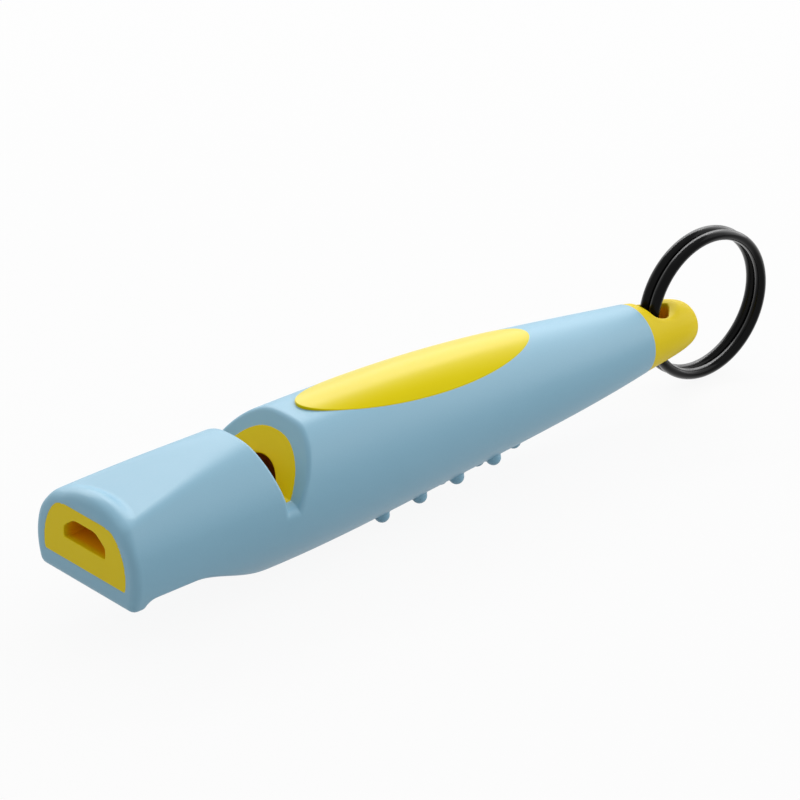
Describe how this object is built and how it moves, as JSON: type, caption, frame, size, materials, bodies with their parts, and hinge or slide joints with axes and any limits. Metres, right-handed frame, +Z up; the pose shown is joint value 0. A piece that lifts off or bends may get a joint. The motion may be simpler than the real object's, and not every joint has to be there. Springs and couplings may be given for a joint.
{
  "type": "dog whistle",
  "caption": "Slim moulded dog whistle: blue skin over a yellow body, flattened mouthpiece with bite lip, slanted sound window, oval badge, studded belly, and a split ring in the tail lug.",
  "frame": {"origin": "middle of the whole box at its lowest level, straight under the barrel's axis, on the plane that the lowest studs touch", "axes": "+X along the barrel from the mouth to the split ring, +Z up through the sound window and the oval badge, +Y to the left when looking along +X"},
  "size_m": [0.097, 0.0166, 0.018],
  "materials": {
    "blue_skin": "satin moulded",
    "yellow_body": "satin moulded",
    "yellow_badge": "polished",
    "ring_black": "black nickel"
  },
  "bodies": {
    "whistle": {"skin": "blue_skin", "windway_plug": "yellow_body", "resonator_core": "yellow_body", "oval_badge": "yellow_badge"},
    "ring": {"split_ring": "ring_black"}
  },
  "joints": [
    {"name": "ring_swing", "type": "hinge", "parent": "whistle", "child": "ring", "pos_m": [0.03185, 0, 0.00923], "axis": [0, 0, 1], "range_deg": [-150, 150]}
  ]
}
